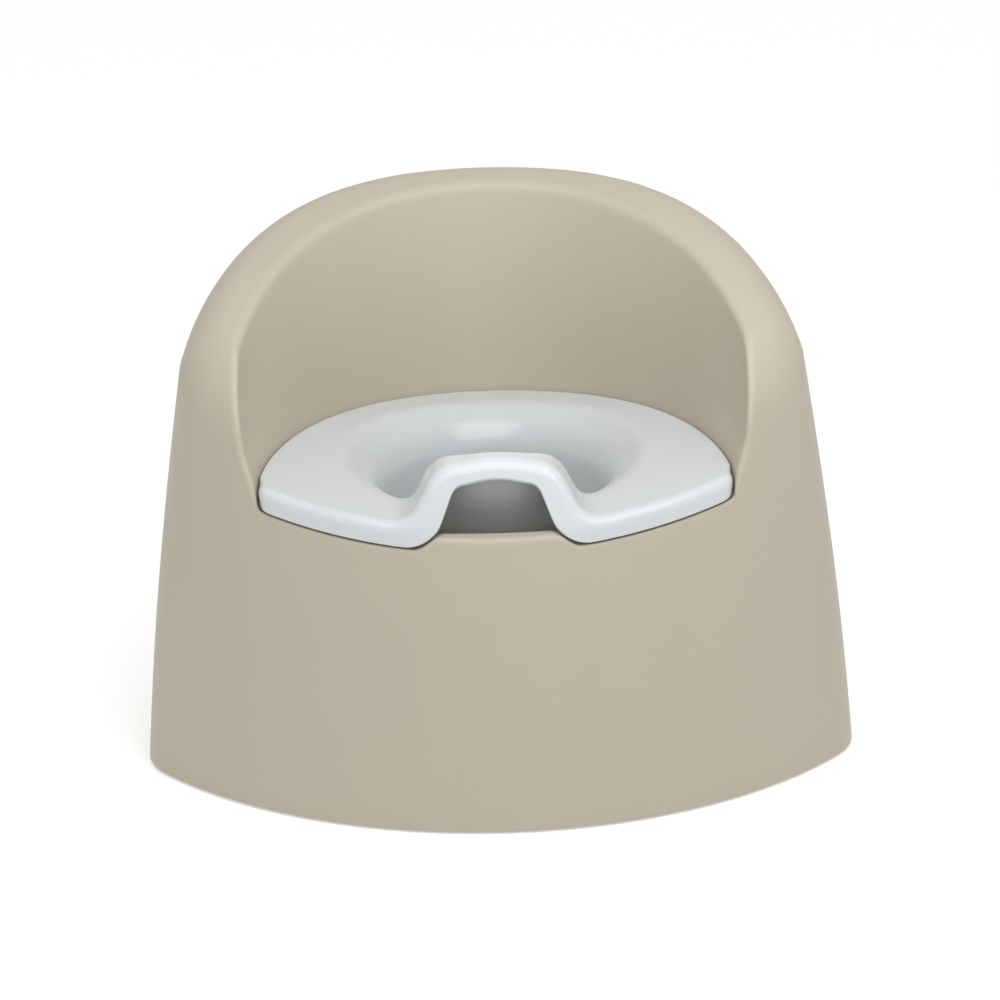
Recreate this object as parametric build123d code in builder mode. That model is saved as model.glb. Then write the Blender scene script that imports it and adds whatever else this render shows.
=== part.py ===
from build123d import *
from math import cos, radians, sin, tan
import os

# Potty training chair: a one-piece moulded tub with a lift-out pot and four push-in feet.
# Millimetres. Origin under the middle of the tub on the floor, front towards -Y, +Z up.

# ---------------------------------------------------------------- overall size
width = 354.0
depth = 310.0
height = 261.0

# ---------------------------------------------------------------- tub, outside
floor_gap = 0.8            # the tub's bottom edge stands this far off the floor
front_bow = 84.0           # the front wall bulges this far ahead of its two corners
side_lean = 8.4            # degrees that each side leans inwards
back_lean = 9.5
front_lean = 3.8
barrel = 3.3               # outward swell of the walls at half height
corner_round = 26.0        # between the front wall and each side
shoulder = 0.64            # fullness of the rounded back: 0.55 is a plain half ellipse
rim_slope = 14.5           # degrees that the rim falls from the back to the front
rim_round = 20.0           # outer rounding of the rim
wall = 3.0
overrun = 1.15             # the walls are drawn this much past the height, then cut to the rim

# ---------------------------------------------------------------- seat hollow
seat_height = 151.0        # top of the pot's seat at the middle
seat_saddle = 700.0        # the seat curves up to each side on this radius
arm_width = 47.4           # from the tub's side to the seat, at seat height
back_rim_width = 29.7      # from the tub's unrounded back edge to the hollow, at the rim
seat_side_flare = 6.0      # degrees that the hollow opens upwards at the sides
seat_back_flare = 11.2
seat_centre_slope = 24.0   # degrees that the half ellipse's middle moves back as it rises
lip_depth = 11.5           # the seat pan lies this far below the top of the seat

# ---------------------------------------------------------------- pot
pot_wall = 2.5
pot_fit = 0.8              # gap between the pot and the tub, all round
lip_lean = 24.0            # degrees that the arch guard leans back
guard_height = 30.0        # crest of the guard above the seat
guard_half_top = 22.5      # half width of the guard at its crest and at the seat, corners unrounded
guard_half_base = 40.0
guard_round = 13.0
guard_band = 11.5          # height of the guard's face above the finger gap
gap_half_top = 18.5        # the same half widths for the finger gap under the guard
gap_half_base = 30.0
gap_top_round = 9.0
gap_base_round = 20.0
bowl_setback = 31.0        # from the lip's lower edge back to the bowl's mouth
seat_behind_bowl = 29.0    # from the bowl's mouth back to the end of the seat
bowl_mouth_x = 66.0        # half width of the bowl where it meets the seat
bowl_flare = 9.0           # the mouth is this much wider all round than the throat below it
bowl_flare_depth = 17.0
bowl_taper = 11.0          # and the throat this much wider than the floor
bowl_floor_z = 36.0
bowl_floor_round = 14.0

# ---------------------------------------------------------------- seat pan
collar_depth = 16.0        # turned-down edge round the hole
sill_height = 7.0          # the front wall rises this far above the pan behind the finger gap
sill_depth = 10.0
finger_room = 36.0         # half width of the hole in the pan behind the sill
rib_thickness = 2.4
rib_depth = 24.0
rib_count = 10

# ---------------------------------------------------------------- feet
foot_radius = 11.0
foot_thickness = 4.0
foot_edge = 1.0
plug_radius = 5.8
plug_length = 12.0
plug_fit = 0.15
boss_radius = 10.0
boss_height = 42.0
boss_bore = 16.0
boss_inset = 27.0          # from the outside of the wall to the boss's axis
foot_angles = (6.0, 56.0)  # round the tub from its widest line, front pair and back pair

# ---------------------------------------------------------------- worked-out values
half_width = width / 2
front_y = -depth / 2
back_y = depth / 2
mid_z = height / 2
loft_top = height * overrun
pan_z = seat_height - lip_depth
rim_turn = 90 + rim_slope - back_lean
rim_rise = rim_round * (tan(radians(rim_turn / 2)) * sin(radians(rim_slope)) + cos(radians(rim_slope)) - 1)
rim_edge_z = height + rim_rise
rim_edge_y = back_y - rim_edge_z * tan(radians(back_lean))
rim_normal = (0, -sin(radians(rim_slope)), cos(radians(rim_slope)))
reach = 2 * width          # longer than anything it has to cut through
hollow_low = pan_z - 2 * wall


def swell_at(level):
    """How far the walls swell out at a height."""
    return barrel * (1 - ((level - mid_z) / mid_z) ** 2)


lip_foot_y = front_y + pan_z * tan(radians(front_lean)) - barrel
seat_half_width = half_width - seat_height * tan(radians(side_lean)) + swell_at(seat_height) - arm_width
seat_back_y = rim_edge_y - back_rim_width - (height - seat_height) * tan(radians(seat_back_flare))
bowl_front_y = lip_foot_y + bowl_setback
bowl_back_y = seat_back_y - seat_behind_bowl
bowl_centre_y = (bowl_front_y + bowl_back_y) / 2
bowl_mouth_y = (bowl_back_y - bowl_front_y) / 2
sill_y = lip_foot_y + sill_depth


def tub_section(level, inset):
    """Plan outline of the tub at a height, pulled in by inset."""
    swell = swell_at(level)
    side = half_width - level * tan(radians(side_lean)) + swell - inset
    front = front_y + level * tan(radians(front_lean)) - swell + inset
    back = back_y - level * tan(radians(back_lean)) + swell - inset
    corner = front + front_bow * side / half_width
    with BuildSketch(Plane.XY.offset(level)) as section:
        with BuildLine():
            ThreePointArc((-side, corner), (0, front), (side, corner))
            for hand in (side, -side):
                Bezier(
                    (hand, corner),
                    (hand, corner + shoulder * (back - corner)),
                    (shoulder * hand, back),
                    (0, back),
                )
        make_face()
    return section.sketch


def hollow_section(level, growth):
    """Plan outline of the seat hollow at a height, grown outwards. It runs out through the front."""
    rise = level - seat_height
    side = seat_half_width + rise * tan(radians(seat_side_flare)) + growth
    centre = bowl_front_y + rise * tan(radians(seat_centre_slope))
    back = seat_back_y + rise * tan(radians(seat_back_flare)) + growth
    with BuildSketch(Plane.XY.offset(level)) as section:
        with BuildLine():
            Polyline((side, centre), (side, -width), (-side, -width), (-side, centre))
            EllipticalCenterArc((0, centre), side, back - centre, 0, arc_size=180)
        make_face()
    return section.sketch


def bowl_section(level, inset):
    """Plan outline of the bowl at a height, pulled in by inset from its mouth."""
    with BuildSketch(Plane.XY.offset(level)) as section:
        with Locations((0, bowl_centre_y)):
            Ellipse(bowl_mouth_x - inset, bowl_mouth_y - inset)
    return section.sketch


def gap_profile(drop):
    """Front view of everything under the arch guard's lower edge, lowered by drop."""
    low = pan_z + pot_fit - drop
    high = seat_height + guard_height - guard_band - drop
    with BuildSketch() as profile:
        with BuildLine():
            Polyline(
                (-seat_half_width, 0),
                (-seat_half_width, low),
                (-gap_half_base, low),
                (-gap_half_top, high),
                (gap_half_top, high),
                (gap_half_base, low),
                (seat_half_width, low),
                (seat_half_width, 0),
                close=True,
            )
        make_face()
        bends = profile.vertices().filter_by_position(Axis.X, -gap_half_base, gap_half_base)
        fillet(bends.filter_by_position(Axis.Y, low, low), gap_base_round)
        fillet(profile.vertices().filter_by_position(Axis.Y, high, high), gap_top_round)
    return profile.sketch


def guard_profile(inset):
    """Front view of the seat's middle with the arch guard on it, pulled in by inset."""
    low = pan_z + pot_fit
    end = guard_half_base + guard_round
    with BuildSketch() as profile:
        with BuildLine():
            Polyline(
                (-end, low),
                (-end, seat_height),
                (-guard_half_base, seat_height),
                (-guard_half_top, seat_height + guard_height),
                (guard_half_top, seat_height + guard_height),
                (guard_half_base, seat_height),
                (end, seat_height),
                (end, low),
                close=True,
            )
        make_face()
        bends = profile.vertices().filter_by_position(Axis.X, -guard_half_base, guard_half_base)
        fillet(bends, guard_round)
        if inset:
            offset(amount=-inset)
    return profile.sketch


def rim_plane(drop):
    """Plane of the rim, lowered by drop."""
    plane = Plane(origin=(0, rim_edge_y, rim_edge_z), x_dir=(1, 0, 0), z_dir=rim_normal)
    return plane.offset(-drop)


# ---------------------------------------------------------------- tub, outside form
with BuildPart() as tub_outside:
    loft([tub_section(level, 0) for level in (floor_gap, mid_z, loft_top)])
    upright = tub_outside.edges().filter_by(lambda edge: edge.bounding_box().size.Z > height)
    fillet(upright.filter_by_position(Axis.Y, -depth, 0), corner_round)
    split(bisect_by=rim_plane(0), keep=Keep.BOTTOM)
    fillet(tub_outside.faces().sort_by(Axis.Z)[-1].edges(), rim_round)

# ---------------------------------------------------------------- seat hollow, open to the front
with BuildPart() as seat_hollow:
    loft([hollow_section(level, 0) for level in (hollow_low, loft_top)])
    with Locations((0, 0, pan_z + seat_saddle)):
        Cylinder(seat_saddle, reach, rotation=(90, 0, 0), mode=Mode.INTERSECT)

# the same hollow with the thickness of the moulding round it
with BuildPart() as seat_lining:
    loft([hollow_section(level, wall) for level in (hollow_low, loft_top)])
    with Locations((0, 0, pan_z + seat_saddle)):
        Cylinder(seat_saddle + wall, reach, rotation=(90, 0, 0), mode=Mode.INTERSECT)

# ---------------------------------------------------------------- bowl, outside and inside
throat_z = seat_height - bowl_flare_depth


def bowl_form(skin):
    """The bowl as a solid, pulled in by skin, with its mouth run straight up past the guard."""
    with BuildPart() as bowl:
        floor = bowl_section(bowl_floor_z + skin, bowl_flare + bowl_taper + skin)
        throat = bowl_section(throat_z, bowl_flare + skin)
        mouth = bowl_section(seat_height, skin)
        loft([floor, throat])
        fillet(bowl.faces().sort_by(Axis.Z)[0].edges(), bowl_floor_round - skin)
        loft([throat, mouth])
        extrude(mouth, amount=reach)
    return bowl.part


bowl_outside = bowl_form(0)
bowl_inside = bowl_form(pot_wall)

# ---------------------------------------------------------------- hole in the seat pan for the bowl
# it is as large as the bowl's mouth, so the narrower bowl below drops through it with room
with BuildPart() as pan_hole:
    with BuildSketch(Plane.XY.offset(pan_z - rib_depth)):
        with Locations((0, bowl_centre_y)):
            Ellipse(bowl_mouth_x, bowl_mouth_y)
        with Locations((0, (bowl_centre_y + sill_y) / 2)):
            Rectangle(2 * finger_room, bowl_centre_y - sill_y)
    extrude(amount=reach)

with BuildPart() as pan_collar:
    with BuildSketch(Plane.XY.offset(pan_z - collar_depth)):
        with Locations((0, bowl_centre_y)):
            Ellipse(bowl_mouth_x + wall, bowl_mouth_y + wall)
        with Locations((0, (bowl_centre_y + sill_y - wall) / 2)):
            Rectangle(2 * (finger_room + wall), bowl_centre_y - sill_y + wall)
    extrude(amount=collar_depth)

# ---------------------------------------------------------------- sill in front of the finger gap
with BuildPart() as sill:
    with BuildSketch(Plane.XZ.offset(-sill_y)) as sill_face:
        add(gap_profile(pot_fit))
        with Locations((0, pan_z + (sill_height - wall) / 2)):
            Rectangle(reach, sill_height + wall, mode=Mode.INTERSECT)
        split(bisect_by=Plane.YZ.offset(guard_half_base), keep=Keep.BOTTOM)
        split(bisect_by=Plane.YZ.offset(-guard_half_base), keep=Keep.TOP)
    extrude(amount=reach)
    add(tub_outside.part, mode=Mode.INTERSECT)

# ---------------------------------------------------------------- bosses that hold the feet
tub_base_corner = front_y + front_bow
boss_places = []
for angle in foot_angles:
    across = (half_width - boss_inset) * cos(radians(angle))
    along = tub_base_corner + (back_y - tub_base_corner - boss_inset) * sin(radians(angle))
    boss_places += [(across, along, angle), (-across, along, 180 - angle)]

with BuildPart() as bosses:
    for across, along, angle in boss_places:
        with Locations((across, along, foot_thickness)):
            Cylinder(boss_radius, boss_height, align=(Align.CENTER, Align.CENTER, Align.MIN))
        with Locations(Location((across, along, foot_thickness), (0, 0, angle))):
            Box(2 * boss_inset, rib_thickness, boss_height, align=(Align.MIN, Align.CENTER, Align.MIN))

# ---------------------------------------------------------------- ribs under the pan
with BuildPart() as ribs:
    with Locations((0, bowl_centre_y, pan_z - rib_depth)):
        with PolarLocations(0, rib_count, start_angle=180 / rib_count):
            Box(reach, rib_thickness, rib_depth, align=(Align.MIN, Align.CENTER, Align.MIN))
    add(pan_hole.part, mode=Mode.SUBTRACT)

# ---------------------------------------------------------------- space under the moulding
with BuildPart() as under_space:
    loft([tub_section(level, wall) for level in (0, mid_z, loft_top)])
    upright = under_space.edges().filter_by(lambda edge: edge.bounding_box().size.Z > height)
    fillet(upright.filter_by_position(Axis.Y, -depth, 0), corner_round - wall)
    split(bisect_by=rim_plane(wall), keep=Keep.BOTTOM)
    fillet(under_space.faces().sort_by(Axis.Z)[-1].edges(), rim_round - wall)
    add(seat_lining.part, mode=Mode.SUBTRACT)
    add(pan_collar.part, mode=Mode.SUBTRACT)
    add(bosses.part, mode=Mode.SUBTRACT)
    add(ribs.part, mode=Mode.SUBTRACT)

# ---------------------------------------------------------------- the tub
with BuildPart() as chair_shell:
    add(tub_outside.part)
    add(seat_hollow.part, mode=Mode.SUBTRACT)
    add(under_space.part, mode=Mode.SUBTRACT)
    add(sill.part)
    add(pan_hole.part, mode=Mode.SUBTRACT)
    for across, along, _ in boss_places:
        with Locations((across, along, foot_thickness)):
            Cylinder(
                plug_radius + plug_fit,
                boss_bore,
                align=(Align.CENTER, Align.CENTER, Align.MIN),
                mode=Mode.SUBTRACT,
            )
chair_shell.part.label = "chair_shell"

# ---------------------------------------------------------------- pot: space ahead of the guard
def behind_lip(setback):
    """Everything behind the leaning front of the guard, moved back by setback."""
    with BuildPart() as room:
        with BuildSketch(Plane.YZ):
            with BuildLine():
                Polyline(
                    (lip_foot_y + setback, 0),
                    (lip_foot_y + setback, pan_z),
                    (lip_foot_y + setback + height * tan(radians(lip_lean)), pan_z + height),
                    (reach, pan_z + height),
                    (reach, 0),
                    close=True,
                )
            make_face()
        extrude(amount=reach, both=True)
    return room.part


# ---------------------------------------------------------------- pot: seat plate, solid
with BuildPart() as seat_plate:
    loft([hollow_section(level, -pot_fit) for level in (hollow_low, loft_top)])
    with Locations((0, 0, pan_z + pot_fit + seat_saddle)):
        Cylinder(seat_saddle, reach, rotation=(90, 0, 0), mode=Mode.INTERSECT)
    with Locations((0, 0, seat_height + seat_saddle)):
        Cylinder(seat_saddle, reach, rotation=(90, 0, 0), mode=Mode.SUBTRACT)
    add(tub_outside.part, mode=Mode.INTERSECT)

# ---------------------------------------------------------------- pot: arch guard, solid
with BuildPart() as arch_guard:
    with BuildSketch(Plane.XZ.offset(-bowl_centre_y)):
        add(guard_profile(0))
    extrude(amount=reach)
    add(tub_outside.part, mode=Mode.INTERSECT)
    add(behind_lip(0), mode=Mode.INTERSECT)
    with Locations((0, 0, pan_z + pot_fit + seat_saddle)):
        Cylinder(seat_saddle, reach, rotation=(90, 0, 0), mode=Mode.INTERSECT)

# ---------------------------------------------------------------- pot: hollow behind the lip
with BuildPart() as under_seat:
    loft([hollow_section(level, -pot_fit - pot_wall) for level in (hollow_low, loft_top)])
    with Locations((0, 0, seat_height - pot_wall + seat_saddle)):
        Cylinder(seat_saddle, reach, rotation=(90, 0, 0), mode=Mode.SUBTRACT)
    with BuildSketch(Plane.XZ.offset(-bowl_centre_y)):
        add(guard_profile(pot_wall))
    extrude(amount=reach)
    add(behind_lip(pot_wall), mode=Mode.INTERSECT)

with BuildPart() as tub_lining:
    loft([tub_section(level, pot_wall) for level in (floor_gap, mid_z, loft_top)])

with BuildPart() as pot_underside:
    add(under_seat.part)
    add(tub_lining.part, mode=Mode.INTERSECT)
    with BuildSketch(Plane.XZ.offset(-bowl_centre_y)):
        add(gap_profile(0))
    extrude(amount=reach)
    add(bowl_outside, mode=Mode.SUBTRACT)

# ---------------------------------------------------------------- the pot
with BuildPart() as inner_pot:
    add(bowl_outside)
    split(bisect_by=Plane.XY.offset(seat_height - pot_wall), keep=Keep.BOTTOM)
    add(seat_plate.part)
    add(arch_guard.part)
    add(pot_underside.part, mode=Mode.SUBTRACT)
    add(bowl_inside, mode=Mode.SUBTRACT)
inner_pot.part.label = "inner_pot"

# ---------------------------------------------------------------- push-in feet
with BuildPart() as foot:
    Cylinder(foot_radius, foot_thickness, align=(Align.CENTER, Align.CENTER, Align.MIN))
    fillet(foot.faces().sort_by(Axis.Z)[0].edges(), foot_edge)
    with Locations((0, 0, foot_thickness)):
        Cylinder(plug_radius, plug_length, align=(Align.CENTER, Align.CENTER, Align.MIN))
    chamfer(foot.faces().sort_by(Axis.Z)[-1].edges(), foot_edge)

os.makedirs("parts", exist_ok=True)
export_step(chair_shell.part, "parts/chair_shell.step")
export_step(inner_pot.part, "parts/inner_pot.step")
for across, along, _ in boss_places:
    hand = "right" if across > 0 else "left"
    row = "front" if along < 0 else "back"
    placed = foot.part.moved(Location((across, along, 0)))
    placed.label = f"foot_{row}_{hand}"
    export_step(placed, f"parts/{placed.label}.step")
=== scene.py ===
import bpy
import numpy as np
from mathutils import Matrix, Vector


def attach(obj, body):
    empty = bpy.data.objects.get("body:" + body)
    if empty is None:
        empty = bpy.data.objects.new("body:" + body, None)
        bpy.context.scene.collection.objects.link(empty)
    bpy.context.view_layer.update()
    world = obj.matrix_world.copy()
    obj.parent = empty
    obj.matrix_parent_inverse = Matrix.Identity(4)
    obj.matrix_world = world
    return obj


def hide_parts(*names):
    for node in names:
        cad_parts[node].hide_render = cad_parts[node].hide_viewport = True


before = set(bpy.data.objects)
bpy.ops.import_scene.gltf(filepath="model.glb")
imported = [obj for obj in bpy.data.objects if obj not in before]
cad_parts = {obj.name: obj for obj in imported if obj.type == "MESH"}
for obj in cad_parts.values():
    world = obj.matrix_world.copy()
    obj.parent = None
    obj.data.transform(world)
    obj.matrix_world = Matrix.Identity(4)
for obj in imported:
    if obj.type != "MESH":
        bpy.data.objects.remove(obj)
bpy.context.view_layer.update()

# ---------------------------------------------------------------- the tub
# One moulding in taupe polypropylene: leaning walls, a rolled rim that falls to the front, and
# a seat hollow left open at the front. It is 3 mm thick all over and hollow underneath, and the
# pot drops into its pan. Sizes are in millimetres until the mesh is made.
tub_width = 354.0
tub_depth = 310.0
tub_height = 261.0
floor_gap = 0.8
front_bow = 84.0           # the front wall bulges this far ahead of its corners
side_lean = np.tan(np.radians(8.4))
back_lean = np.tan(np.radians(9.5))
front_lean = np.tan(np.radians(3.8))
barrel = 3.3               # outward swell of the walls at half height
corner_round = 34.0        # between the front wall and each side, at the floor
corner_soften = 14.0       # and it grows by this much on the way up to the arms
shoulder = 0.67            # fullness of the rounded back
rim_fall = np.tan(np.radians(14.5))
rim_back = (110.5, 265.3)  # y and z where the rim meets the back wall, before its rounding
rim_round = 19.0
fold_round = 28.0          # softer bend where the arms turn down into the front wall
fold_span = (-62.0, -100.0)  # the rim's rounding turns into that bend between these lines across the tub
seat_height = 149.4
seat_rise = 1.6            # and it climbs this much to the back
seat_saddle = 530.0        # radius on which the seat and its pan curve up to the sides
hollow_level = 151.0       # the hollow is this wide and this long at this height
seat_half_width = 110.6
seat_back_y = 59.0
bowl_front_y = -118.0
hollow_flare = (np.tan(np.radians(6.0)), np.tan(np.radians(24.0)), np.tan(np.radians(11.2)))
cheek_bulge = 3.0          # the arms' inner faces swell outwards just above the seat
pan_height = 138.2
sill_rise = 7.0            # the front wall rises this much behind the finger gap
edge_round = 4.0           # rim's inner edge and the arms' front edges
ledge_round = 1.5          # front wall's top edge, under the pot's lip
hole_half = (66.0, 74.0)   # hole in the pan, as large as the bowl's mouth
hole_middle = -44.0
finger_half = 36.0         # the hole runs on forwards, this wide, as far as the sill
finger_round = 6.0
sill_back_y = -139.0
collar_depth = 16.0
moulding_thickness = 3.0
skin_start = 1.6           # the pan's skin stops this far outside the hole, where its edge rounds over
tub_colour = (0.428, 0.384, 0.306, 1.0)
plan_middle = -10.0        # the wall is measured outwards from this point on the middle line
tiny = 1e-9                # keeps a division by a distance of zero from failing


def ease(start, end, value):
    """Smooth step from 0 at start to 1 at end."""
    part = np.clip((value - start) / (end - start), 0.0, 1.0)
    return part * part * (3.0 - 2.0 * part)


def rolled(first, second, radius):
    """Distance outside a form whose two faces meet in an edge of this radius."""
    over_first = first + radius
    over_second = second + radius
    corner = np.hypot(np.maximum(over_first, 0.0), np.maximum(over_second, 0.0))
    return corner + np.minimum(np.maximum(over_first, over_second), 0.0) - radius


def half_outline(level):
    """Half of the tub's plan outline at a height, from the front round to the back."""
    middle = tub_height / 2
    swell = barrel * (1 - ((level - middle) / middle) ** 2)
    side = tub_width / 2 - level * side_lean + swell
    front = -tub_depth / 2 + level * front_lean - swell
    back = tub_depth / 2 - level * back_lean + swell
    corner = front + front_bow * side / (tub_width / 2)
    bow = (side ** 2 + (corner - front) ** 2) / (2 * (corner - front))
    part = np.linspace(0, 1, 3000)[:, None]
    pulls = ((side, corner), (side, corner + shoulder * (back - corner)), (shoulder * side, back), (0.0, back))
    weights = ((1 - part) ** 3, 3 * (1 - part) ** 2 * part, 3 * (1 - part) * part ** 2, part ** 3)
    flank = sum(weight * np.array(pull) for weight, pull in zip(weights, pulls))
    run = np.gradient(flank, axis=0)
    run /= np.linalg.norm(run, axis=1)[:, None]
    radius = corner_round + corner_soften * ease(60, 190, level)
    inner = flank + radius * np.stack((-run[:, 1], run[:, 0]), 1)
    from_bow = np.hypot(inner[:, 0], inner[:, 1] - front - bow) - (bow - radius)
    leaves = int(np.argmax(from_bow < 0))
    centre = inner[leaves]
    bow_end = np.arctan2(centre[0], front + bow - centre[1])
    flank_start = np.arctan2(-run[leaves, 0], run[leaves, 1])
    bow_turn = np.linspace(0, bow_end, 260)
    bend_turn = np.linspace(bow_end, np.pi / 2 + flank_start, 60)[1:-1]
    front_part = np.stack((bow * np.sin(bow_turn), front + bow - bow * np.cos(bow_turn)), 1)
    bend = centre + radius * np.stack((np.sin(bend_turn), -np.cos(bend_turn)), 1)
    return np.concatenate((front_part, bend, flank[leaves:]))


# the wall's reach from that point, and how much its slant stretches the distance to it, as tables
table_turns = np.linspace(0, np.pi, 1441)
table_levels = np.linspace(0, 300, 151)
blur_reach = 110           # table steps round the tub over which the stretch is smoothed
blur_width = 44.0
reach_table = []
for level in table_levels:
    outline = half_outline(level)
    turns = np.arctan2(outline[:, 0], plan_middle - outline[:, 1])
    turns[-1] = np.pi
    reach_table.append(np.interp(table_turns, turns, np.hypot(outline[:, 0], outline[:, 1] - plan_middle)))
reach_table = np.array(reach_table)
by_level, by_turn = np.gradient(reach_table, table_levels[1], table_turns[1])
stretch_table = np.sqrt(1 + (by_turn / reach_table) ** 2 + by_level ** 2)
blur = np.exp(-0.5 * (np.arange(-blur_reach, blur_reach + 1) / blur_width) ** 2)
blur /= blur.sum()
before_front = stretch_table[:, blur_reach:0:-1]
past_back = stretch_table[:, -2:-blur_reach - 2:-1]
mirrored = np.concatenate((before_front, stretch_table, past_back), axis=1)
stretch_table = np.array([np.convolve(row, blur, "valid") for row in mirrored])


def look_up(table, turn, level):
    """Value between the entries of one of the wall's tables."""
    row = np.clip(level / table_levels[1], 0, len(table_levels) - 1.001)
    column = np.clip(turn / table_turns[1], 0, len(table_turns) - 1.001)
    low, left = row.astype(int), column.astype(int)
    up, across = row - low, column - left
    near = table[low, left] * (1 - across) + table[low, left + 1] * across
    far = table[low + 1, left] * (1 - across) + table[low + 1, left + 1] * across
    return near * (1 - up) + far * up


def on_wall(turn, level):
    """Point of the outer wall at an angle round the tub (0 is the front) and a height."""
    reach = look_up(reach_table, turn, level)
    return np.stack((reach * np.sin(turn), plan_middle - reach * np.cos(turn), level), -1)


def rim_level(y):
    """Height of the rim's plane above a line across the tub."""
    return rim_back[1] - (rim_back[0] - y) * rim_fall


def outside_wall(p):
    """Distance outside the tub's wall."""
    turn = np.arctan2(np.abs(p[:, 0]), plan_middle - p[:, 1])
    away = np.hypot(p[:, 0], p[:, 1] - plan_middle) - look_up(reach_table, turn, p[:, 2])
    return away / look_up(stretch_table, turn, p[:, 2])


def outside_tub(p):
    """Distance outside the tub as if it had no seat hollow."""
    above_rim = (p[:, 2] - rim_level(p[:, 1])) / np.sqrt(1 + rim_fall ** 2)
    radius = rim_round + (fold_round - rim_round) * ease(*fold_span, p[:, 1])
    return rolled(outside_wall(p), above_rim, radius)


def pan_level(p):
    """Height of the seat pan, with the sill in front of the finger gap."""
    sill = sill_rise * ease(38, 25, np.abs(p[:, 0])) * ease(-118, -128, p[:, 1])
    return pan_height + p[:, 0] ** 2 / (2 * seat_saddle) + sill


def outside_hollow(p, bulge):
    """Distance outside the seat hollow's upright face."""
    rise = p[:, 2] - hollow_level
    side = seat_half_width + rise * hollow_flare[0]
    side = side + bulge * ease(158, 178, p[:, 2]) * ease(240, 190, p[:, 2]) * ease(-20, -75, p[:, 1])
    centre = bowl_front_y + rise * hollow_flare[1]
    behind = seat_back_y + rise * hollow_flare[2] - centre
    across = np.abs(p[:, 0])
    along = np.maximum(p[:, 1] - centre, 0)
    share = np.hypot(across / side, along / behind) + tiny
    slope = np.hypot(across / side ** 2, along / behind ** 2) / share + tiny
    return (share - 1) / slope


def outside_space(p):
    """Distance outside the open space of the seat hollow."""
    return rolled(outside_hollow(p, cheek_bulge), pan_level(p) - p[:, 2], ledge_round)


def outside_moulding(p):
    """Distance outside the tub's visible skin."""
    on_sill = ease(34, 24, np.abs(p[:, 0])) * ease(160, 150, p[:, 2])
    radius = ledge_round + (edge_round - ledge_round) * np.maximum(ease(150, 166, p[:, 2]), 0.6 * on_sill)
    return rolled(outside_tub(p), -outside_space(p), radius)


def draw_to(form, points, rounds):
    """Points moved square on to the surface of a form."""
    points = points.copy()
    small = 0.02
    for _ in range(rounds):
        miss = form(points)
        slope = np.empty_like(points)
        for axis in range(3):
            step = np.zeros(3)
            step[axis] = small
            slope[:, axis] = (form(points + step) - form(points - step)) / (2 * small)
        size = np.maximum((slope ** 2).sum(1), 0.2)
        points -= np.clip(miss / size, -9, 9)[:, None] * slope
    return points


def facing(form, points):
    """Unit vectors square to the surface of a form, outwards."""
    small = 0.05
    slope = np.empty_like(points)
    for axis in range(3):
        step = np.zeros(3)
        step[axis] = small
        slope[:, axis] = form(points + step) - form(points - step)
    return slope / np.linalg.norm(slope, axis=1)[:, None]


def along_line(line):
    """Distance run along a line of points."""
    return np.concatenate(([0.0], np.cumsum(np.linalg.norm(np.diff(line, axis=0), axis=1))))


def at_runs(line, runs):
    """Points of a line at these distances along it."""
    run = along_line(line)
    return np.stack([np.interp(runs, run, line[:, axis]) for axis in range(3)], 1)


def skin_mesh(name, front, rear, closed=False):
    """A piece in metres from rings of the right half of a skin and of its hidden side, mirrored and joined."""
    def whole(rings):
        return np.concatenate((rings, rings[:, -2:0:-1] * np.array((-1, 1, 1))), axis=1)

    front, rear = whole(front), whole(rear)
    layers, around = front.shape[:2]
    place = np.arange(around)
    beside = (place + 1) % around
    step = (np.arange(layers - 1) * around)[:, None]
    seen = np.stack((step + place, step + beside, step + around + beside, step + around + place), -1).reshape(-1, 4)
    under = layers * around
    last = (layers - 1) * around
    faces = seen.tolist() + (seen[:, ::-1] + under).tolist()
    faces += np.stack((under + place, under + beside, beside, place), 1).tolist()
    points = np.concatenate((front.reshape(-1, 3), rear.reshape(-1, 3)))
    if closed:
        points = np.concatenate((points, front[-1].mean(0)[None], rear[-1].mean(0)[None]))
        faces += [(last + a, last + b, 2 * under) for a, b in zip(place.tolist(), beside.tolist())]
        faces += [(under + last + b, under + last + a, 2 * under + 1)
                  for a, b in zip(place.tolist(), beside.tolist())]
    else:
        faces += np.stack((last + place, last + beside,
                           under + last + beside, under + last + place), 1).tolist()
    mesh = bpy.data.meshes.new(name)
    mesh.from_pydata((points * 0.001).tolist(), [], faces)
    mesh.polygons.foreach_set("use_smooth", [True] * len(mesh.polygons))
    mesh.set_sharp_from_angle(angle=np.radians(38))
    piece = bpy.data.objects.new(name, mesh)
    bpy.context.scene.collection.objects.link(piece)
    return piece


# the edge of the moulding: along the ledge, up the front of the arm and round the rim
ledge_points, arm_points, rim_points = 160, 90, 320
ledge_x = np.linspace(0, 109.5, ledge_points)
ledge = np.stack((ledge_x, -149 + ledge_x ** 2 / 400, np.full(ledge_points, 142.0)), 1)
arm_x = np.linspace(111, 118, arm_points)
arm_y = np.linspace(-115, -106, arm_points)
arm_edge = np.stack((arm_x, arm_y, np.linspace(149.5, 200, arm_points)), 1)
rim_turn = np.linspace(0.03, np.pi / 2, rim_points)
rim_y = -96 + 176 * np.sin(rim_turn)
rim_edge = np.stack((118 * np.cos(rim_turn), rim_y, rim_level(rim_y)), 1)
mouth_line = np.concatenate((ledge, arm_edge, rim_edge))
for _ in range(30):
    mouth_line = draw_to(outside_tub, mouth_line, 2)
    mouth_line = draw_to(outside_space, mouth_line, 2)
mouth_line[[0, -1], 0] = 0
line_run = along_line(mouth_line)
corner_run = line_run[ledge_points]
fold_run = line_run[ledge_points + arm_points]
ledge_columns, arm_columns, rim_columns = 36, 26, 84
first_rim_column = ledge_columns + arm_columns
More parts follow.
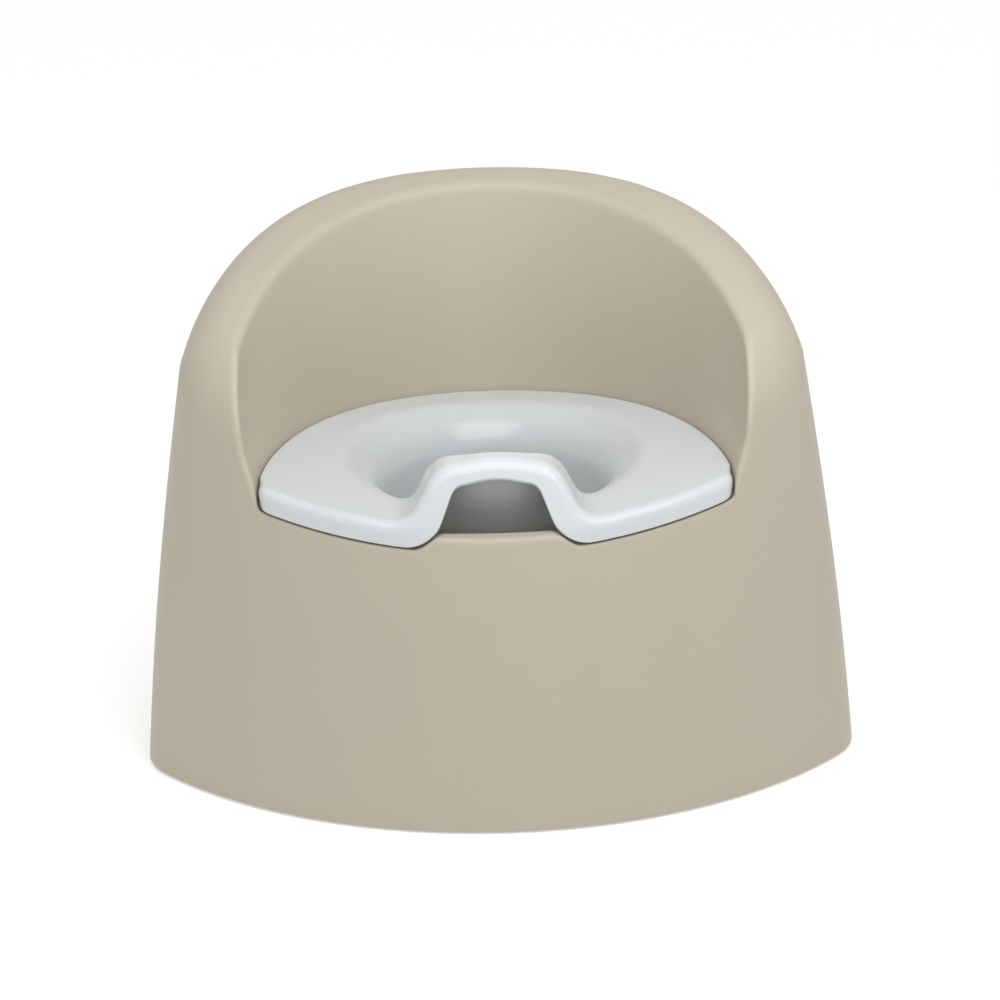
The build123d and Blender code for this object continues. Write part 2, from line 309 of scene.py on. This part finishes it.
column_run = np.concatenate((
    np.linspace(0, corner_run, ledge_columns + 1)[:-1],
    np.linspace(corner_run, fold_run, arm_columns + 1)[:-1],
    np.linspace(fold_run, line_run[-1], rim_columns + 1),
))
mouth = at_runs(mouth_line, column_run)
columns = len(mouth)
up_arm = ease(0, 1, (column_run - corner_run) / (fold_run - corner_run))

# outer skin, from the floor up the wall and over the rim to that edge
mouth_turn = np.arctan2(mouth[:, 0], plan_middle - mouth[:, 1])
outer_fan = np.radians(12) * up_arm * ease(np.pi, mouth_turn[first_rim_column], mouth_turn)
top = mouth.copy()
near_rim = up_arm ** 6
for _ in range(12):
    top = on_wall(mouth_turn, mouth[:, 2] * (1 - near_rim) + rim_level(top[:, 1]) * near_rim)
outer_offsets = np.array((0.6, 1.3, 2.1, 3.1, 4.4, 6.0, 8.0, 10.5, 13.5, 17.0, 21.0, 25.5, 30.0, 34.5, 39.0))
outer_columns = []
for place in range(columns):
    climb = np.linspace(0, 1, 90)
    wall_line = on_wall(mouth_turn[place] + outer_fan[place] * (1 - climb),
                        floor_gap + (top[place, 2] - floor_gap) * climb)
    over = np.linspace(top[place], mouth[place], 40)[1:]
    line = np.concatenate((wall_line, over))
    length = along_line(line)[-1]
    evenly = np.linspace(1.2, length - outer_offsets[-1], 40)[:-1]
    runs = np.concatenate((evenly, length - outer_offsets[::-1], [length]))
    outer_columns.append(at_runs(line, runs))
outer_skin = np.array(outer_columns).transpose(1, 0, 2)


# inner skin, from that edge down the hollow's face and across the pan to the hole
def outside_hole(x, y):
    """Distance outside the hole in the pan, in plan."""
    share = np.hypot(x / hole_half[0], (y - hole_middle) / hole_half[1]) + tiny
    slope = np.hypot(x / hole_half[0] ** 2, (y - hole_middle) / hole_half[1] ** 2) / share + tiny
    from_round = (share - 1) / slope
    beside = np.abs(x) - finger_half
    ahead = np.maximum(sill_back_y - y, y - hole_middle - finger_round)
    from_slot = rolled(beside, ahead, finger_round)
    near = np.maximum(8 - np.abs(from_round - from_slot), 0) / 8
    return np.minimum(from_round, from_slot) - near ** 2 * 2


def along_rays(turn, outside, start, end):
    """How far out from the bowl's middle each ray crosses a form."""
    low, high = np.full(len(turn), start), np.full(len(turn), end)
    for _ in range(40):
        half = (low + high) / 2
        beyond = outside(half * np.sin(turn), hole_middle - half * np.cos(turn)) > 0
        high = np.where(beyond, half, high)
        low = np.where(beyond, low, half)
    return (low + high) / 2


def around_bowl(turn, reach):
    """Points on the seat pan at angles and distances from the bowl's middle."""
    points = np.stack((reach * np.sin(turn), hole_middle - reach * np.cos(turn), 0 * reach), 1)
    points[:, 2] = pan_level(points)
    return points


def hollow_foot(x, y):
    """Distance outside the hollow's face where it meets the pan."""
    return outside_hollow(np.stack((x, y, pan_height + x ** 2 / (2 * seat_saddle)), 1), 0.0)


bowl_turn = np.arctan2(mouth[:, 0], hole_middle - mouth[:, 1])
inner_fan = np.radians(21) * up_arm * ease(np.pi, bowl_turn[first_rim_column], bowl_turn)
inner_turn = bowl_turn + inner_fan
foot_line = around_bowl(inner_turn, along_rays(inner_turn, hollow_foot, 40.0, 260.0))
hole_reach = along_rays(inner_turn, lambda x, y: outside_hole(x, y) - skin_start, 10.0, 140.0)
hole_line = around_bowl(inner_turn, hole_reach)
inner_offsets = np.array((0.6, 1.3, 2.1, 3.1, 4.4, 6.0))
inner_columns = []
for place in range(columns):
    if place <= ledge_columns:
        line = np.linspace(mouth[place], hole_line[place], 60)
    else:
        down = np.linspace(mouth[place], foot_line[place], 80)[:-1]
        line = np.concatenate((down, np.linspace(foot_line[place], hole_line[place], 60)))
    length = along_line(line)[-1]
    runs = np.concatenate((inner_offsets, np.linspace(inner_offsets[-1], length, 44)[1:]))
    inner_columns.append(at_runs(line, runs))
inner_skin = np.array(inner_columns).transpose(1, 0, 2)


def both_skins(form, rings, thickness):
    """Rings drawn on to a form, and the rings of the skin that lies this far under it."""
    shape = rings.shape
    rings = draw_to(form, rings.reshape(-1, 3), 16)
    under = rings - facing(form, rings) * thickness
    under = draw_to(lambda p: form(p) + thickness, under, 10)
    return rings.reshape(shape), under.reshape(shape)


skin, skin_back = both_skins(outside_moulding, np.concatenate((outer_skin, inner_skin)), moulding_thickness)
skin[:, [0, -1], 0] = 0


def hole_ring(outwards, level):
    """A ring this far outside the hole, at a height."""
    edge = along_rays(inner_turn, lambda x, y: outside_hole(x, y) - outwards, 10.0, 140.0)
    return np.stack((edge * np.sin(inner_turn), hole_middle - edge * np.cos(inner_turn), level + 0 * edge), 1)


pan_edge = skin[-1, :, 2]
collar_foot = pan_height - collar_depth + 0 * pan_edge
collar_end = collar_foot + 0.6
under_pan = pan_edge - moulding_thickness
turn_down = ((0.8, 0.2), (0.25, 0.7), (0.0, 1.6))
collar = [hole_ring(outwards, pan_edge - drop) for outwards, drop in turn_down]
collar_back = [hole_ring(moulding_thickness, under_pan) for _ in turn_down]
for part in (0.25, 0.5, 0.75, 1.0):
    collar.append(hole_ring(0.0, pan_edge * (1 - part) + collar_end * part))
    collar_back.append(hole_ring(moulding_thickness, under_pan * (1 - part) + collar_end * part))
collar.append(hole_ring(0.5, collar_foot))
collar_back.append(hole_ring(moulding_thickness - 0.5, collar_foot))

# the tub's foot, with both of its edges eased
inwards = -facing(outside_moulding, skin[0]) * np.array((1, 1, 0))
foot_rings, foot_backs = [], []
for eased, level in ((0.9, 0.0), (0.25, 0.35)):
    for rings, depth in ((foot_rings, eased), (foot_backs, moulding_thickness - eased)):
        ring = skin[0] + inwards * depth
        ring[:, 2] = floor_gap + level
        rings.append(ring)
tub_front = np.concatenate((foot_rings, skin, collar))
tub_back = np.concatenate((foot_backs, skin_back, collar_back))
for rings in (tub_front, tub_back):
    rings[:, [0, -1], 0] = 0
tub = skin_mesh("tub_moulding", tub_front, tub_back)


# the moulding's own surface, shared by the tub and the pot
def moulded_finish():
    """Node group for moulded plastic: faint flow mottling in the colour, fine grain in the surface."""
    finish = bpy.data.node_groups.new("moulded_finish", "ShaderNodeTree")
    for way, name, kind in (("INPUT", "Colour", "Color"), ("INPUT", "Mottle", "Float"),
                            ("INPUT", "Sheen Low", "Float"), ("INPUT", "Sheen High", "Float"),
                            ("INPUT", "Grain Scale", "Float"), ("OUTPUT", "Colour", "Color"),
                            ("OUTPUT", "Roughness", "Float"), ("OUTPUT", "Height", "Float")):
        finish.interface.new_socket(name=name, in_out=way, socket_type="NodeSocket" + kind)
    nodes, links = finish.nodes, finish.links
    given = nodes.new("NodeGroupInput")
    made = nodes.new("NodeGroupOutput")
    place = nodes.new("ShaderNodeTexCoord")
    flow = nodes.new("ShaderNodeMapping")
    flow.inputs["Scale"].default_value = (26.0, 26.0, 7.0)
    links.new(place.outputs["Object"], flow.inputs["Vector"])
    clouds = nodes.new("ShaderNodeTexNoise")
    clouds.inputs["Scale"].default_value = 1.0
    clouds.inputs["Detail"].default_value = 4.0
    clouds.inputs["Roughness"].default_value = 0.55
    links.new(flow.outputs["Vector"], clouds.inputs["Vector"])
    grain = nodes.new("ShaderNodeTexNoise")
    grain.inputs["Detail"].default_value = 3.0
    grain.inputs["Roughness"].default_value = 0.6
    links.new(place.outputs["Object"], grain.inputs["Vector"])
    links.new(given.outputs["Grain Scale"], grain.inputs["Scale"])
    centred = nodes.new("ShaderNodeMath")
    centred.operation = "SUBTRACT"
    centred.inputs[1].default_value = 0.5
    links.new(clouds.outputs["Fac"], centred.inputs[0])
    amount = nodes.new("ShaderNodeMath")
    amount.operation = "MULTIPLY_ADD"
    amount.inputs[2].default_value = 1.0
    links.new(centred.outputs["Value"], amount.inputs[0])
    links.new(given.outputs["Mottle"], amount.inputs[1])
    shade = nodes.new("ShaderNodeVectorMath")
    shade.operation = "SCALE"
    links.new(given.outputs["Colour"], shade.inputs[0])
    links.new(amount.outputs["Value"], shade.inputs["Scale"])
    links.new(shade.outputs["Vector"], made.inputs["Colour"])
    gloss = nodes.new("ShaderNodeMapRange")
    links.new(clouds.outputs["Fac"], gloss.inputs["Value"])
    gloss.inputs["From Min"].default_value = 0.25
    gloss.inputs["From Max"].default_value = 0.75
    links.new(given.outputs["Sheen Low"], gloss.inputs["To Min"])
    links.new(given.outputs["Sheen High"], gloss.inputs["To Max"])
    links.new(gloss.outputs["Result"], made.inputs["Roughness"])
    links.new(grain.outputs["Fac"], made.inputs["Height"])
    return finish


moulded = moulded_finish()


def plastic(name, colour, mottle, sheen, grain_scale, grain_depth, specular, glow):
    """A moulded plastic with this colour, spread of colour, range of roughness and grain."""
    material = bpy.data.materials.new(name)
    material.use_nodes = True
    nodes, links = material.node_tree.nodes, material.node_tree.links
    shader = nodes["Principled BSDF"]
    surface = nodes.new("ShaderNodeGroup")
    surface.node_tree = moulded
    surface.inputs["Colour"].default_value = colour
    surface.inputs["Mottle"].default_value = mottle
    surface.inputs["Sheen Low"].default_value = sheen[0]
    surface.inputs["Sheen High"].default_value = sheen[1]
    surface.inputs["Grain Scale"].default_value = grain_scale
    relief = nodes.new("ShaderNodeBump")
    relief.inputs["Strength"].default_value = 1.0
    relief.inputs["Distance"].default_value = grain_depth
    links.new(surface.outputs["Colour"], shader.inputs["Base Color"])
    links.new(surface.outputs["Roughness"], shader.inputs["Roughness"])
    links.new(surface.outputs["Height"], relief.inputs["Height"])
    links.new(relief.outputs["Normal"], shader.inputs["Normal"])
    shader.inputs["Specular IOR Level"].default_value = specular
    shader.inputs["Subsurface Weight"].default_value = glow
    shader.inputs["Subsurface Radius"].default_value = (1.0, 0.95, 0.85)
    shader.inputs["Subsurface Scale"].default_value = 0.006
    return material


tub.data.materials.append(plastic("taupe_plastic", tub_colour, mottle=0.06, sheen=(0.46, 0.54), grain_scale=900.0,
                                  grain_depth=0.00003, specular=0.45, glow=0.0))
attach(tub, "chair")
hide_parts("chair_shell")

# ---------------------------------------------------------------- the pot
# A lift-out moulding in white polypropylene, glossier than the tub: a saddle-shaped seat with a
# turned-down lip, a splash guard that arches over the finger gap, and a deep bowl. It rests on
# the pan with a little room all round.
pot_room = 0.8
pot_thickness = 2.5
lip_foot_y = -149.03       # the leaning lip's face starts here, at the pan
lip_lean = np.radians(24.0)
# the guard's crest and the finger gap's edge, from the side to past the middle: width and height
guard_run = ((54.0, 149.4), (40.5, 149.4), (27.5, 173.5), (0.0, 178.3), (-27.5, 173.5))
guard_bends = (14.0, 18.0, 60.0)
gap_run = ((54.0, 139.0), (30.0, 139.0), (19.0, 166.0), (0.0, 169.9), (-19.0, 166.0))
gap_bends = (20.0, 7.0, 40.0)
lip_round = 4.6
back_round = 1.3           # the seat's edge is sharper where it faces the tub
mouth_round = 13.0
guard_back_round = 5.5     # and so is the bowl's mouth behind the guard
bowl_half = hole_half
# the bowl's side, from above the seat down: height, and how far it stands in from the hole's edge
bowl_run = ((184.0, 2.5), (151.0, 2.5), (134.0, 11.5), (20.0, 24.3))
bowl_bends = (12.0, 24.0)
bowl_floor = 38.5
bowl_floor_round = 11.5
mouth_half = (63.5, 71.5)  # inside the mouth's rounding
pot_colour = (0.55, 0.575, 0.59, 1.0)


def bent(corners, radii):
    """A line through corners, each inner one rounded to its radius, as close-set points."""
    corners = [np.array(corner, float) for corner in corners]
    points = [corners[0]]
    for before, corner, after, radius in zip(corners, corners[1:], corners[2:], radii):
        back = (before - corner) / np.linalg.norm(before - corner)
        on = (after - corner) / np.linalg.norm(after - corner)
        half = np.arccos(np.clip(back @ on, -1, 1)) / 2
        middle = corner + (back + on) / np.linalg.norm(back + on) * radius / np.sin(half)
        start = corner + back * radius / np.tan(half) - middle
        end = corner + on * radius / np.tan(half) - middle
        for part in np.linspace(0, 1, 40):
            spoke = start * (1 - part) + end * part
            points.append(middle + spoke / np.linalg.norm(spoke) * radius)
    points.append(corners[-1])
    return np.array(points)


guard_line = bent(guard_run, guard_bends)
gap_line = bent(gap_run, gap_bends)
bowl_line = bent(bowl_run, bowl_bends)
width_steps = np.linspace(0, 54, 541)
guard_rise = np.interp(width_steps, guard_line[::-1, 0], guard_line[::-1, 1]) - seat_height
guard_slope = np.gradient(guard_rise, width_steps)
level_steps = np.linspace(20, 184, 657)
bowl_inset = np.interp(level_steps, bowl_line[::-1, 0], bowl_line[::-1, 1])
inset_slope = np.gradient(bowl_inset, level_steps)


def seat_level(x, y):
    """Height of the seat, with the splash guard standing on its front."""
    guard = np.interp(np.abs(x), width_steps, guard_rise) * (y < hole_middle)
    return seat_height + x ** 2 / (2 * seat_saddle) + seat_rise * ease(-105, 40, y) + guard


def outside_edge(p):
    """Distance outside the pot's rim, in front and where it faces the tub."""
    wall = outside_wall(p)
    lean = (lip_foot_y - p[:, 1] + (p[:, 2] - pan_height) * np.tan(lip_lean)) * np.cos(lip_lean)
    near = np.maximum(3 - np.abs(wall - lean), 0) / 3
    front = np.maximum(wall, lean) + near ** 2 * 0.75
    return rolled(outside_hollow(p, 0.0) + pot_room, front, lip_round)


def outside_top(p):
    """Distance above the seat and the splash guard."""
    across = np.abs(p[:, 0])
    slope = np.interp(across, width_steps, guard_slope) * (p[:, 1] < hole_middle) + across / seat_saddle
    return (p[:, 2] - seat_level(p[:, 0], p[:, 1])) / np.sqrt(1 + slope ** 2)


def outside_plate(p):
    """Distance outside the pot as if it had no bowl."""
    radius = back_round + (lip_round - back_round) * ease(-96, -106, p[:, 1])
    return rolled(outside_edge(p), outside_top(p), radius)


def outside_bowl(p):
    """Distance outside the room in the bowl."""
    inset = np.interp(p[:, 2], level_steps, bowl_inset)
    lean = np.interp(p[:, 2], level_steps, inset_slope)
    half_x = bowl_half[0] - inset
    half_y = bowl_half[1] - inset
    along = p[:, 1] - hole_middle
    share = np.hypot(p[:, 0] / half_x, along / half_y) + tiny
    slope = np.hypot(p[:, 0] / half_x ** 2, along / half_y ** 2) / share + tiny
    return rolled((share - 1) / slope / np.sqrt(1 + lean ** 2), bowl_floor - p[:, 2], bowl_floor_round)


def outside_pot(p):
    """Distance outside the pot's upper skin."""
    radius = mouth_round + (guard_back_round - mouth_round) * ease(152, 166, p[:, 2])
    return rolled(outside_plate(p), -outside_bowl(p), radius)


# the seat's edge: over the guard, along the lip to its tip and round the back
guard_x = guard_line[guard_line[:, 0] >= 0][::-1, 0]
front_x = np.concatenate((np.linspace(0, guard_x[0], 20, endpoint=False), guard_x, np.linspace(54.5, 106, 100)))
front_edge = np.stack((front_x, -146 + front_x ** 2 / 420, seat_level(front_x, -140)), 1)
side_points, back_points = 12, 260
side_y = np.linspace(-113, -104, side_points)
side_edge = np.stack((np.full(side_points, 109.8), side_y, np.full(side_points, 159.6)), 1)
back_turn = np.linspace(0.06, np.pi / 2, back_points)
back_x = 109.6 * np.cos(back_turn)
back_y = -116 + 174.4 * np.sin(back_turn)
back_edge = np.stack((back_x, back_y, np.full(back_points, 155.0)), 1)
seat_edge = np.concatenate((front_edge, side_edge, back_edge))
for _ in range(30):
    seat_edge = draw_to(outside_edge, seat_edge, 2)
    seat_edge = draw_to(outside_top, seat_edge, 2)
seat_edge[[0, -1], 0] = 0
edge_run = along_line(seat_edge)
guard_end = edge_run[int(np.argmax(seat_edge[:, 0] > 53))]
edge_at = np.concatenate((np.linspace(0, guard_end, 45)[:-1], np.linspace(guard_end, edge_run[-1], 100)))
edge_top = at_runs(seat_edge, edge_at)
in_guard = edge_at <= guard_end
gap_half = gap_line[gap_line[:, 0] > 0][::-1]
gap_half = np.concatenate(([[0.0, gap_half[0, 1]]], gap_half))
gap_run_length = along_line(gap_half)
gap_at = edge_at / guard_end * gap_run_length[-1]
low_x = np.where(in_guard, np.interp(gap_at, gap_run_length, gap_half[:, 0]), edge_top[:, 0])
low_rise = np.where(in_guard, np.interp(gap_at, gap_run_length, gap_half[:, 1]), pan_height + pot_room)
edge_low = edge_top.copy()
edge_low[:, 0] = low_x
edge_low[:, 2] = low_rise + low_x ** 2 / (2 * seat_saddle) + 1.0
wanted = edge_low[:, 2].copy()
for _ in range(10):
    edge_low = draw_to(outside_edge, edge_low, 2)
    edge_low[:, 2] = wanted

# the bowl's mouth, matched to the seat's edge
front_turn = np.interp(edge_top[:, 0], (0.0, 22.5, 40.0, 110.0), np.radians((0.0, 20.8, 35.0, 60.9)))
own_turn = np.arctan2(edge_top[:, 0] / mouth_half[0], (hole_middle - edge_top[:, 1]) / mouth_half[1])
past_tip = np.arange(len(edge_top)) >= int(np.argmax(edge_top[:, 0]))
mouth_turns = np.where(past_tip, own_turn, front_turn)


def clustered(count):
    """Fractions from 0 to 1, close together at both ends."""
    return (1 - np.cos(np.linspace(0, np.pi, count + 1))) / 2


def bowl_ring(half_x, half_y):
    """The bowl's outline in plan, with these half sizes."""
    return np.stack((half_x * np.sin(mouth_turns), hole_middle - half_y * np.cos(mouth_turns)), 1)


pot_rings = []
for part in clustered(10):
    pot_rings.append(edge_low * (1 - part) + edge_top * part)
mouth_edge = bowl_ring(*mouth_half)
for part in clustered(26)[1:]:
    ring = np.empty_like(edge_top)
    ring[:, :2] = edge_top[:, :2] * (1 - part) + mouth_edge * part
    ring[:, 2] = seat_level(ring[:, 0], ring[:, 1])
    pot_rings.append(ring)
mouth_level = seat_level(mouth_edge[:, 0], mouth_edge[:, 1])
for part in np.concatenate((np.linspace(0, 0.3, 16)[1:], np.linspace(0.3, 1, 26)[1:])):
    level = mouth_level * (1 - part) + (bowl_floor + 3) * part
    inset = np.interp(level, level_steps, bowl_inset)
    ring = bowl_ring(bowl_half[0] - inset, bowl_half[1] - inset)
    pot_rings.append(np.concatenate((ring, level[:, None]), axis=1))
last = pot_rings[-1]
for part in (0.97, 0.94, 0.9, 0.86, 0.82, 0.76, 0.68, 0.58, 0.46, 0.34, 0.22, 0.12, 0.05):
    ring = last.copy()
    ring[:, 0] *= part
    ring[:, 1] = hole_middle + (ring[:, 1] - hole_middle) * part
    ring[:, 2] = bowl_floor + 0.6
    pot_rings.append(ring)
pot_skin, pot_back = both_skins(outside_pot, np.array(pot_rings), pot_thickness)
outwards = facing(outside_edge, pot_skin[0])
lip_rings, lip_backs = [], []
for depth, drop in ((1.0, 1.0), (0.3, 0.7)):
    lower = np.array((0, 0, drop))
    lip_rings.append(pot_skin[0] - outwards * depth - lower)
    lip_backs.append(pot_skin[0] - outwards * (pot_thickness - depth * 0.6) - lower)
pot_front = np.concatenate((lip_rings, pot_skin))
pot_back = np.concatenate((lip_backs, pot_back))
for rings in (pot_front, pot_back):
    rings[:, [0, -1], 0] = 0
pot = skin_mesh("pot_moulding", pot_front, pot_back, closed=True)
pot.data.materials.append(plastic("white_plastic", pot_colour, mottle=0.02, sheen=(0.16, 0.22), grain_scale=500.0,
                                  grain_depth=0.00001, specular=0.5, glow=0.35))
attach(pot, "pot")
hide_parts("inner_pot")

# ---------------------------------------------------------------- ribs and bosses under the tub
# Moulded with the tub in the same plastic: ten thin ribs fan out under the pan from the hole's
# collar to the wall, and four round bosses, each on its own web, take the plugs of the feet.
rib_count = 10
rib_thickness = 2.4
rib_depth = 24.0
boss_foot = 4.0            # the bosses stand on the feet's pads
boss_top = 46.0
boss_profile = (           # radius and height, from the bore's blind end down, out and up the outside
    (5.95, 20.0), (5.95, boss_foot + 0.6), (6.5, boss_foot), (9.4, boss_foot),
    (10.0, boss_foot + 0.6), (10.0, boss_top - 0.7), (9.3, boss_top))
boss_sides = 48
boss_inset = 27.0          # from the outside of the wall to a boss's middle
boss_turns = (6.0, 56.0)   # degrees round the tub from its widest line
web_start = 9.0            # a web starts this far from its boss's middle
wall_bite = 0.5            # the ribs and webs run this far into what they join


def wall_along(start, turn, level):
    """How far a line in plan runs from a point to just inside the tub's wall."""
    low, high = 0.0, 260.0
    for _ in range(40):
        half = (low + high) / 2
        p = np.array([[start[0] + half * np.cos(turn), start[1] + half * np.sin(turn), level]])
        low, high = (low, half) if outside_wall(p)[0] > wall_bite - moulding_thickness else (half, high)
    return low


def upright_plate(start, turn, near, far_low, far_high, low, high):
    """Points and faces of a thin upright plate that runs out from a point, between two heights."""
    points, faces = [], []
    side = np.array((-np.sin(turn), np.cos(turn))) * rib_thickness / 2
    for step, share in enumerate(np.linspace(0, 1, 25)):
        for far, height in ((far_low, low), (far_high, high)):
            run = near + (far - near) * share
            middle = np.array(start) + run * np.array((np.cos(turn), np.sin(turn)))
            for hand in (-1, 1):
                points.append((*(middle + hand * side), height(*middle)))
        if step:
            old, new = 4 * step - 4, 4 * step
            faces += [(old, new, new + 2, old + 2), (old + 1, old + 3, new + 3, new + 1),
                      (old, old + 1, new + 1, new), (old + 2, new + 2, new + 3, old + 3)]
    end = len(points) - 4
    return points, faces + [(0, 2, 3, 1), (end, end + 1, end + 3, end + 2)]


def joined(name, groups):
    """One piece, in metres, from groups of points and faces."""
    points, faces = [], []
    for group_points, group_faces in groups:
        faces += [tuple(corner + len(points) for corner in face) for face in group_faces]
        points += [tuple(value * 0.001 for value in point) for point in group_points]
    mesh = bpy.data.meshes.new(name)
    mesh.from_pydata(points, [], faces)
    mesh.polygons.foreach_set("use_smooth", [True] * len(mesh.polygons))
    mesh.set_sharp_from_angle(angle=np.radians(30))
    piece = bpy.data.objects.new(name, mesh)
    bpy.context.scene.collection.objects.link(piece)
    piece.data.materials.append(tub.data.materials[0])
    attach(piece, "chair")


def rib_low(x, y):
    """Height of a rib's lower edge."""
    return pan_height - rib_depth


def rib_high(x, y):
    """Height of a rib's upper edge, just inside the underside of the pan."""
    return min(pan_height, pan_height + x ** 2 / (2 * seat_saddle) - moulding_thickness + wall_bite)


ribs = []
rib_start = moulding_thickness - wall_bite
for number in range(rib_count):
    turn = np.pi / rib_count * (2 * number + 1)
    plan_turn = np.array([abs(np.arctan2(np.cos(turn), -np.sin(turn)))])
    near = along_rays(plan_turn, lambda x, y: outside_hole(x, y) - rib_start, 10.0, 140.0)[0]
    far_low = wall_along((0, hole_middle), turn, pan_height - rib_depth)
    far_high = wall_along((0, hole_middle), turn, pan_height)
    ribs.append(upright_plate((0, hole_middle), turn, near, far_low, far_high, rib_low, rib_high))
joined("pan_ribs", ribs)

bosses = []
wall_corner = -tub_depth / 2 + front_bow
for boss_turn in boss_turns:
    turn = np.radians(boss_turn)
    across = (tub_width / 2 - boss_inset) * np.cos(turn)
    along = wall_corner + (tub_depth / 2 - wall_corner - boss_inset) * np.sin(turn)
    for hand in (1, -1):
        middle = (hand * across, along)
        spokes = np.linspace(0, 2 * np.pi, boss_sides + 1)[:-1]
        points = [(middle[0] + radius * np.cos(spoke), middle[1] + radius * np.sin(spoke), level)
                  for radius, level in boss_profile for spoke in spokes]
        faces = [tuple(range(boss_sides))[::-1]]
        for row in range(boss_sides, len(points), boss_sides):
            for place in range(boss_sides):
                beside = (place + 1) % boss_sides
                old = row - boss_sides
                faces.append((old + beside, row + beside, row + place, old + place))
        faces.append(tuple(range(len(points) - boss_sides, len(points))))
        bosses.append((points, faces))
        web_turn = turn if hand > 0 else np.pi - turn
        reach_low = wall_along(middle, web_turn, boss_foot)
        reach_high = wall_along(middle, web_turn, boss_top)
        bosses.append(upright_plate(middle, web_turn, web_start, reach_low, reach_high,
                                    lambda x, y: boss_foot, lambda x, y: boss_top))
joined("foot_bosses", bosses)

# ---------------------------------------------------------------- the feet
# Four soft rubber buttons with plugs, pushed up into the bosses under the tub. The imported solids
# are the right shape, so they stay, with a dull dark grey rubber on them.
rubber = bpy.data.materials.new("grey_rubber")
rubber.use_nodes = True
rubber_nodes, rubber_links = rubber.node_tree.nodes, rubber.node_tree.links
rubber_shader = rubber_nodes["Principled BSDF"]
rubber_place = rubber_nodes.new("ShaderNodeTexCoord")
rubber_dust = rubber_nodes.new("ShaderNodeTexNoise")
rubber_dust.inputs["Scale"].default_value = 220.0
rubber_dust.inputs["Detail"].default_value = 5.0
rubber_tone = rubber_nodes.new("ShaderNodeValToRGB")
rubber_tone.color_ramp.elements[0].color = (0.10, 0.10, 0.10, 1)
rubber_tone.color_ramp.elements[1].color = (0.17, 0.168, 0.163, 1)
rubber_relief = rubber_nodes.new("ShaderNodeBump")
rubber_relief.inputs["Distance"].default_value = 0.0001
rubber_links.new(rubber_place.outputs["Object"], rubber_dust.inputs["Vector"])
rubber_links.new(rubber_dust.outputs["Fac"], rubber_tone.inputs["Fac"])
rubber_links.new(rubber_tone.outputs["Color"], rubber_shader.inputs["Base Color"])
rubber_links.new(rubber_dust.outputs["Fac"], rubber_relief.inputs["Height"])
rubber_links.new(rubber_relief.outputs["Normal"], rubber_shader.inputs["Normal"])
rubber_shader.inputs["Roughness"].default_value = 0.8
for node in ("foot_front_left", "foot_front_right", "foot_back_left", "foot_back_right"):
    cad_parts[node].data.materials.clear()
    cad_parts[node].data.materials.append(rubber)

# ---------------------------------------------------------------- floor, light and camera
# A plain white floor with no edge in view, soft light from all round, one large soft lamp in
# front and a smaller one over the seat, and a camera a little above the chair. In metres.
floor_half = 9.0
floor_level = -0.0002
floor_corners = [(x * floor_half, y * floor_half, floor_level) for x, y in ((-1, -1), (1, -1), (1, 1), (-1, 1))]
floor_mesh = bpy.data.meshes.new("floor")
floor_mesh.from_pydata(floor_corners, [], [(0, 1, 2, 3)])
floor = bpy.data.objects.new("floor", floor_mesh)
bpy.context.scene.collection.objects.link(floor)
floor_paint = bpy.data.materials.new("floor_paint")
floor_paint.use_nodes = True
floor_shader = floor_paint.node_tree.nodes["Principled BSDF"]
floor_shader.inputs["Base Color"].default_value = (0.93, 0.93, 0.93, 1)
floor_shader.inputs["Roughness"].default_value = 0.9
floor_shader.inputs["Emission Color"].default_value = (1, 1, 1, 1)
floor_shader.inputs["Emission Strength"].default_value = 0.3
floor_mesh.materials.append(floor_paint)

sky = bpy.data.worlds.new("studio")
sky.use_nodes = True
sky.node_tree.nodes["Background"].inputs["Color"].default_value = (1, 1, 1, 1)
sky.node_tree.nodes["Background"].inputs["Strength"].default_value = 0.74
bpy.context.scene.world = sky


def soft_lamp(name, place, target, size, power):
    """A square soft lamp that faces a point."""
    light = bpy.data.lights.new(name, "AREA")
    light.shape = "SQUARE"
    light.size = size
    light.energy = power
    lamp = bpy.data.objects.new(name, light)
    lamp.location = place
    lamp.rotation_euler = (Vector(target) - Vector(place)).to_track_quat("-Z", "Y").to_euler()
    bpy.context.scene.collection.objects.link(lamp)


soft_lamp("key", (0.7, -2.2, 1.1), (0, 0, 0.15), 1.3, 3.0)
soft_lamp("overhead", (0.05, -0.2, 0.52), (0.01, 0.08, 0.19), 0.4, 1.3)

elevation, heading, tilt = np.radians((20.0, -0.44, -1.42))
camera_distance = 1.3
looked_at = Vector((0, 0, 0.11))
back = Vector((np.sin(heading) * np.cos(elevation), -np.cos(heading) * np.cos(elevation), np.sin(elevation)))
camera_data = bpy.data.cameras.new("camera")
camera_data.sensor_width = 36
camera_data.lens = 91.56
camera_data.shift_x = 0.0058
camera_data.shift_y = 0.0005
camera_data.clip_start = 0.05
camera_data.clip_end = 60
camera = bpy.data.objects.new("camera", camera_data)
camera_place = Matrix.Translation(looked_at + back * camera_distance)
camera_aim = (-back).to_track_quat("-Z", "Y").to_matrix().to_4x4()
camera.matrix_world = camera_place @ camera_aim @ Matrix.Rotation(tilt, 4, "Z")
bpy.context.scene.collection.objects.link(camera)
bpy.context.scene.camera = camera
bpy.context.scene.view_settings.view_transform = "Standard"
